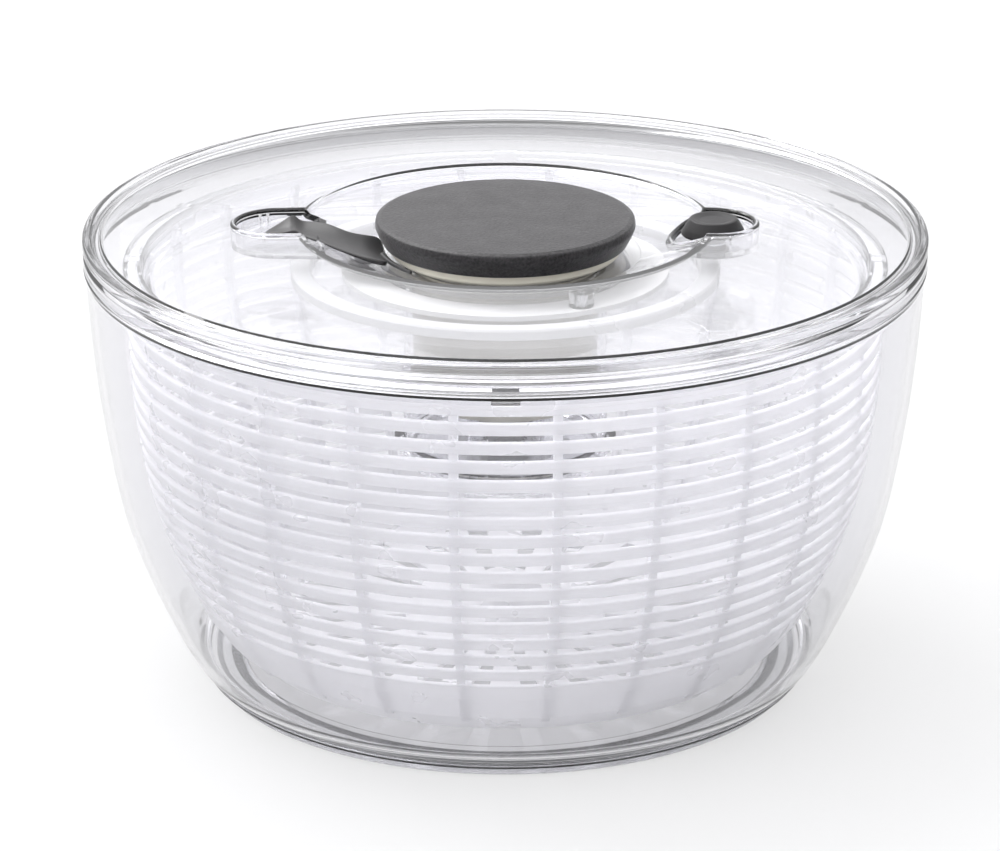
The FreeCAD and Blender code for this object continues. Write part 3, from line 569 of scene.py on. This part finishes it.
EAR_RADIUS = 13.0
EAR_WALL = 1.6
EAR_FLOOR = 142.0
LEVER_EAR = -73.3
LEVER_EAR_START = -60.0
LEVER_EAR_LENGTH = 8.2
BRAKE_ACROSS = 66.6
WELL_RADIUS, WELL_FLOOR = 43.4, 139.9
COLLAR_INNER, COLLAR_OUTER, COLLAR_LOW = 30.06, 31.86, 136.2
DISH_RADIUS, DISH_TOP = 65.3, 148.3
DISH_FOOT = DISH_RADIUS - 0.5
CROWN = 149.6
CROWN_EDGE, CROWN_EDGE_RADIUS = 148.3, 129.0
LID_PLATE = 2
ABOVE_LID = CROWN + 3
POSTS, POST_CIRCLE, POST_RADIUS, POST_LOW = 3, 47.5, 4.0, 133.4


def dish_height(x, y):
    """The height of the lid's top surface inside its dish."""
    share = (math.hypot(x, y) - WELL_RADIUS) / (DISH_FOOT - WELL_RADIUS)
    return WELL_FLOOR + (DISH_TOP - WELL_FLOOR) * max(0.0, share)


def lid_height(x, y):
    """The height of the lid's top surface outside its ears."""
    radius = math.hypot(x, y)
    if radius > DISH_RADIUS:
        share = (radius - DISH_RADIUS) / (CROWN_EDGE_RADIUS - DISH_RADIUS)
        return CROWN + (CROWN_EDGE - CROWN) * share
    return dish_height(x, y)


def lever_ear(radius, start, steps=48):
    """The lock lever's ear from above: straight sides that end in a half circle."""
    turns = [math.pi * k / steps for k in range(steps + 1)]
    bend = [(LEVER_EAR - radius * math.sin(turn), radius * math.cos(turn)) for turn in turns]
    return [(start, radius), *bend, (start, -radius)]


def lever_ear_edge(radius, steps=8):
    """The rounded edge of the lock lever's ear, from the dish round to the dish again."""
    side = [(-DISH_RADIUS + 0.6 - LEVER_EAR_LENGTH * k / steps, radius) for k in range(steps)]
    return [*side, *lever_ear(radius, 0)[1:-1], *((x, -y) for x, y in side[::-1])]


def bead(path, radius, sides=12, sunk=0.35):
    """A round bead that lies partly sunk in the lid along a path of (x, y), open or closed."""
    closed = (Vector(path[0]) - Vector(path[-1])).length < 2
    last = len(path) - 1
    rings = []
    for i, (x, y) in enumerate(path):
        before = path[i - 1] if closed or i else path[0]
        after = path[(i + 1) % len(path)] if closed else path[min(i + 1, last)]
        out = (Vector(after) - Vector(before)).normalized().orthogonal()
        rings.append([
            spot(
                x + out.x * radius * math.cos(math.tau * k / sides),
                y + out.y * radius * math.cos(math.tau * k / sides),
                lid_height(x, y) - sunk + radius * math.sin(math.tau * k / sides),
            )
            for k in range(sides)
        ])
    return join_meshes("bead", [loft(rings, closed)])


def make_lid():
    """The clear lid: a crowned plate with a rolled lip, a dish, the well and its collar, and two ears."""
    rim, reach = 144.1, reach_of("lid_cover")
    lid = lathe("clear_lid", rounded([
        (129.2, 140.8, 0.5), (131.2, 140.8, 0.6), (131.2, rim, 0.4), (reach - 1.3, rim, 0.4),
        (reach, rim + 1.2, 0.9), (reach, 148.3, 2.2), (132.6, 148.35, 1.2), (131.6, 147.6, 0.5),
        (129.7, 147.6, 0.5), (CROWN_EDGE_RADIUS, CROWN_EDGE, 0.4), (DISH_RADIUS, CROWN, 0.7),
        (DISH_RADIUS - 1.0, DISH_TOP, 0.9), (WELL_RADIUS, WELL_FLOOR, 1.5), (COLLAR_INNER, WELL_FLOOR, 0.6),
        (COLLAR_INNER, COLLAR_LOW, 0.3), (COLLAR_OUTER, COLLAR_LOW, 0.3),
        (COLLAR_OUTER, WELL_FLOOR - LID_PLATE, 0.5), (WELL_RADIUS + 0.8, WELL_FLOOR - LID_PLATE, 1.5),
        (DISH_RADIUS + 0.8, DISH_TOP - LID_PLATE, 1), (DISH_RADIUS + 1.8, CROWN - LID_PLATE, 0.8),
        (129.2, 146.3, 1),
    ]))
    for shape in (
        lever_ear(EAR_RADIUS + EAR_WALL, LEVER_EAR_START + EAR_WALL),
        circle(EAR_RADIUS + EAR_WALL, BRAKE_ACROSS),
    ):
        block = prism("ear_block", shape, EAR_FLOOR - EAR_WALL, DISH_TOP - 0.8)
        carve(block, lathe("dish_space", [
            (10, WELL_FLOOR - 0.4), (WELL_RADIUS, WELL_FLOOR - 0.4), (DISH_FOOT, DISH_TOP - 0.4),
            (DISH_RADIUS - 0.4, ABOVE_LID), (10, ABOVE_LID),
        ]), "DIFFERENCE")
        carve(lid, block, "UNION")
    for shape in (lever_ear(EAR_RADIUS, LEVER_EAR_START), circle(EAR_RADIUS, BRAKE_ACROSS)):
        carve(lid, prism("recess", shape, EAR_FLOOR, ABOVE_LID), "DIFFERENCE")
    carve(lid, prism("stem_hole", circle(4.06, BRAKE_ACROSS, 48), EAR_FLOOR - 4, CROWN), "DIFFERENCE")
    middle = EAR_RADIUS + EAR_WALL / 2
    for path in (lever_ear_edge(middle), circle(middle, BRAKE_ACROSS)):
        carve(lid, bead(path, 1.0), "UNION")
    for k in range(POSTS):
        turn = math.pi + math.tau * k / POSTS
        across, along = POST_CIRCLE * math.cos(turn), POST_CIRCLE * math.sin(turn)
        post = [(x + across, y + along) for x, y in circle(POST_RADIUS, 0, 48)]
        carve(lid, prism("post", post, POST_LOW, WELL_FLOOR - 1), "UNION")
    shade(lid)
    stand_for(lid, "lid_cover")


# ---------------------------------------------------------------- knob, lever and brake


def make_knob():
    """The black cap: a crowned grained top, a bulged side and a hollow for the knob's base."""
    low, top, reach = low_of("knob_cap"), top_of("knob_cap"), reach_of("knob_cap")
    hollow = 38.4
    cap = stand_for(lathe("soft_knob_cap", rounded([
        (0, top - 4.4), (hollow, top - 4.4, 0.5), (hollow, low, 0.2), (39.2, low, 0.4),
        (reach - 1.0, low + 3.0, 2.5), (reach, low + 5.4, 2.5), (reach - 0.4, top - 0.9, 1.0),
        (reach - 2.0, top - 0.25, 1.0), (28, top - 0.05, 20), (0, top),
    ], 6)), "knob_cap")
    grained = moulded_plastic(
        "knob_grain_look", (0.006, 0.0054, 0.006), (0.011, 0.0098, 0.0108), 0.48, 1300, 0.14,
        Specular_IOR_Level=0.32, Sheen_Weight=0.22, Sheen_Roughness=0.35)
    vary_colour(grained, pattern(grained, 1100, 3), (0.001, 0.001, 0.001), (0.034, 0.031, 0.034))
    cap.data.materials[0] = grained


def make_brake_button():
    """The black button: a cone with rounded sides and a dished top."""
    low, top = low_of("brake_button"), top_of("brake_button")
    stem = 4.05
    stand_for(lathe("soft_brake_button", rounded([
        (0, top - 0.9), (4.5, top - 0.75, 3), (6.7, top - 0.05, 0.5), (7.6, top - 0.1, 0.7),
        (9.4, top - 3.0, 3), (10.3, low + 0.6, 0.5), (10.3, low, 0.3), (8.6, low, 0.3),
        (7.7, low + 2.0, 0.3), (stem, low + 2.0), (stem, top - 1.6), (0, top - 1.6),
    ], 5), 96, BRAKE_ACROSS), "brake_button")


# Stations along the lever from its tip to the knob: near edge (x, y, z), far edge (x, y, z).
LEVER_STATIONS = [
    ((-77.3, -3.1, 147.0), (-77.1, -2.0, 147.2)),
    ((-74.6, -3.7, 147.1), (-74.4, 0.4, 148.1)),
    ((-71.2, -3.9, 147.4), (-71.4, 2.9, 149.4)),
    ((-69.0, -4.0, 147.9), (-69.5, 3.9, 150.6)),
    ((-68.5, -4.0, 148.1), (-69.0, 4.1, 150.9)),
    ((-66.9, -4.1, 148.1), (-67.4, 4.5, 150.9)),
    ((-66.5, -4.2, 147.9), (-67.0, 4.5, 150.4)),
    ((-65.2, -5.0, 147.0), (-65.4, 4.6, 148.9)),
    ((-62.6, -7.5, 147.0), (-62.2, 4.2, 149.1)),
    ((-58.6, -11.2, 146.9), (-58.2, 2.9, 149.2)),
    ((-54.4, -14.2, 146.0), (-54.2, 0.6, 148.5)),
    ((-50.0, -16.3, 144.9), (-50.4, -1.2, 147.3)),
    ((-46.2, -17.5, 144.0), (-46.9, 0.2, 146.2)),
    ((-42.6, -18.3, 143.4), (-44.2, 1.8, 145.3)),
    ((-39.6, -18.7, 142.8), (-41.7, 3.2, 144.6)),
    ((-36.6, -18.9, 142.2), (-39.3, 3.4, 143.2)),
]


LEVER_SHARES = [0.0, 0.04, 0.12, 0.25, 0.4, 0.55, 0.7, 0.84, 0.94, 1.0]
BLADE_START, BLADE_SWEEP = 193, 30


def under_lever(x, y):
    """The height of what lies under the lever: the floor of its ear, or the dish."""
    return EAR_FLOOR if x < LEVER_EAR_START else dish_height(x, y)


def lever_ring(near, far):
    """The section of the lever at one station: its underside across, then its scooped top back again."""
    near, far = Vector(near), Vector(far)
    width = (far - near).length
    top, under = [], []
    for t in LEVER_SHARES:
        point = near.lerp(far, t)
        edge = min(t, 1 - t) * width
        scoop = 0.1 * width * 4 * t * (1 - t) if width > 2 else 0
        drop = 0.35 * max(0.0, 1 - edge / 0.5)
        top.append(Vector((point.x, point.y, point.z - scoop - drop)))
        floor = max(under_lever(point.x, point.y) + 0.45, point.z - 1.9 - 1.4 * t)
        under.append(Vector((point.x, point.y, min(floor, point.z - scoop - drop - 0.7))))
    return [tuple(point * MM) for point in (*under, *top[::-1])]


def lever_blade(steps=16):
    """The thin curved blade that runs round the knob's flange, tapering to its end."""
    rings = []
    for k in range(steps + 1):
        t = k / steps
        turn = math.radians(BLADE_START + BLADE_SWEEP * t)
        inner, outer = 38.9 + 1.0 * t, 41.4 - 0.6 * t
        low, high = 140.6 + 0.3 * t, 142.7 - 0.5 * t
        section = ((inner, low), (outer, low), (outer, high), (inner, high))
        rings.append([
            spot(radius * math.cos(turn), radius * math.sin(turn), height) for radius, height in section
        ])
    return loft(rings)


def make_lever():
    """The black lock lever: a leaf-shaped thumb tab, a scooped arm and a thin blade under the cap."""
    arm = loft([lever_ring(near, far) for near, far in LEVER_STATIONS])
    lever = join_meshes("soft_lock_lever", [arm, lever_blade()], 50)
    smooth = lever.modifiers.new("smooth", "SUBSURF")
    smooth.levels = smooth.render_levels = 2
    stand_for(lever, "lock_lever")
    lever.data.materials[0] = moulded_plastic(
        "lever_satin_look", (0.008, 0.0075, 0.008), (0.012, 0.011, 0.012), 0.42, 2200, 0.03,
        Specular_IOR_Level=0.5, Sheen_Weight=0.14, Sheen_Roughness=0.4)


# ---------------------------------------------------------------- springs


def make_spring(name, node, across, wire, turns, sides=10, steps=40):
    """A wire spring coiled in place of a CAD node, which it hides. It is baked into place and joined to no
    body.
    """
    low, high = low_of(node), top_of(node)
    radius = reach_of(node) - across - wire / 2
    count = int(turns * steps)
    rise = high - low - wire
    rings = []
    for i in range(count + 1):
        turn = math.tau * i / steps
        middle = low + wire / 2 + rise * i / count
        rings.append([])
        for k in range(sides):
            side = math.tau * k / sides
            out = radius + wire / 2 * math.cos(side)
            height = middle + wire / 2 * math.sin(side)
            rings[-1].append(spot(across + out * math.cos(turn), out * math.sin(turn), height))
    spring = dress(join_meshes(name, [loft(rings)]), SLOT_OF[node])
    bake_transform(spring)
    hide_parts(node)


# ---------------------------------------------------------------- stage, light and camera

# Places and sizes on the stage are in metres, lenses in millimetres and angles in degrees.
FLOOR_RADIUS = 6
HORIZON, CEILING, FRONT, RIGHT = 0.8, 2.4, 0.95, 0.62
KEY_POWER = 26
FOCAL_LENGTH, SENSOR_WIDTH = 159.2, 36
CAMERA_PLACE = (-0.0017, -1.35, 0.5764)
CAMERA_DIP = 20.18
BOUNCES = 48


def make_stage():
    """A pale floor that reaches out of sight."""
    bm = bmesh.new()
    bmesh.ops.create_circle(bm, cap_ends=True, segments=96, radius=FLOOR_RADIUS)
    floor = mesh_object("floor", bm)
    look = surface("floor_look", (0.22, 0.22, 0.222), 0.8, Specular_IOR_Level=0.0, Emission_Strength=0.6)
    vary_colour(look, pattern(look, 3, 2), (0.218, 0.218, 0.22), (0.222, 0.222, 0.224))
    floor.data.materials.append(look)


def area_light(name, place, aim, size, power):
    """A soft rectangular lamp."""
    data = bpy.data.lights.new(name, "AREA")
    data.shape = "RECTANGLE"
    data.size, data.size_y = size
    data.energy = power
    lamp = bpy.data.objects.new(name, data)
    lamp.location = place
    lamp.rotation_euler = (Vector(aim) - Vector(place)).to_track_quat("-Z", "Y").to_euler()
    scene.collection.objects.link(lamp)


def make_light():
    """Soft studio light: a bright ceiling, a dimmer horizon and right side, and one large key lamp."""
    world = bpy.data.worlds.new("studio")
    world.use_nodes = True
    tree = world.node_tree
    nodes = tree.nodes
    place = nodes.new("ShaderNodeTexCoord")
    split = nodes.new("ShaderNodeSeparateXYZ")
    tree.links.new(place.outputs["Generated"], split.inputs["Vector"])
    factors = []
    for axis, low, high, first, last in (
        ("Z", 0.02, 0.75, HORIZON, CEILING), ("Y", -0.9, 0.5, FRONT, 1.0), ("X", -0.6, 0.9, 1.0, RIGHT),
    ):
        ramp = nodes.new("ShaderNodeMapRange")
        ramp.interpolation_type = "SMOOTHSTEP"
        for socket, number in (("From Min", low), ("From Max", high), ("To Min", first), ("To Max", last)):
            ramp.inputs[socket].default_value = number
        tree.links.new(split.outputs[axis], ramp.inputs["Value"])
        factors.append(ramp.outputs["Result"])
    product = factors[0]
    for factor in factors[1:]:
        times = nodes.new("ShaderNodeMath")
        times.operation = "MULTIPLY"
        tree.links.new(product, times.inputs[0])
        tree.links.new(factor, times.inputs[1])
        product = times.outputs["Value"]
    background = nodes["Background"]
    background.inputs["Color"].default_value = (0.985, 0.985, 1.0, 1)
    tree.links.new(product, background.inputs["Strength"])
    scene.world = world
    area_light("key", (-0.8, 0.7, 1.6), (0, 0, 0.08), (1.1, 1.1), KEY_POWER)


def make_camera():
    """The camera looks slightly down along +Y."""
    data = bpy.data.cameras.new("camera")
    data.sensor_width = SENSOR_WIDTH
    data.lens = FOCAL_LENGTH
    camera = bpy.data.objects.new("camera", data)
    camera.location = CAMERA_PLACE
    camera.rotation_euler = (math.radians(90 - CAMERA_DIP), 0, 0)
    scene.collection.objects.link(camera)
    scene.camera = camera


def set_light_paths():
    """Plain display colours, and enough bounces for the many clear walls, with light bent through them."""
    scene.view_settings.view_transform = "Standard"
    scene.cycles.caustics_reflective = False
    scene.cycles.caustics_refractive = True
    scene.cycles.diffuse_bounces = 8
    scene.cycles.max_bounces = BOUNCES
    scene.cycles.transmission_bounces = BOUNCES
    scene.cycles.transparent_max_bounces = BOUNCES


for node, piece in frame["nodes"].items():
    dress(piece, SLOT_OF[node])
make_bowl()
make_base_ring()
make_basket()
make_disc()
make_lid()
make_knob()
make_brake_button()
make_lever()
make_spring("coiled_brake_spring", "brake_spring", BRAKE_ACROSS, 0.6, 3)
make_spring("coiled_return_spring", "return_spring", 0, 1.3, 8)
make_stage()
make_light()
make_camera()
set_light_paths()
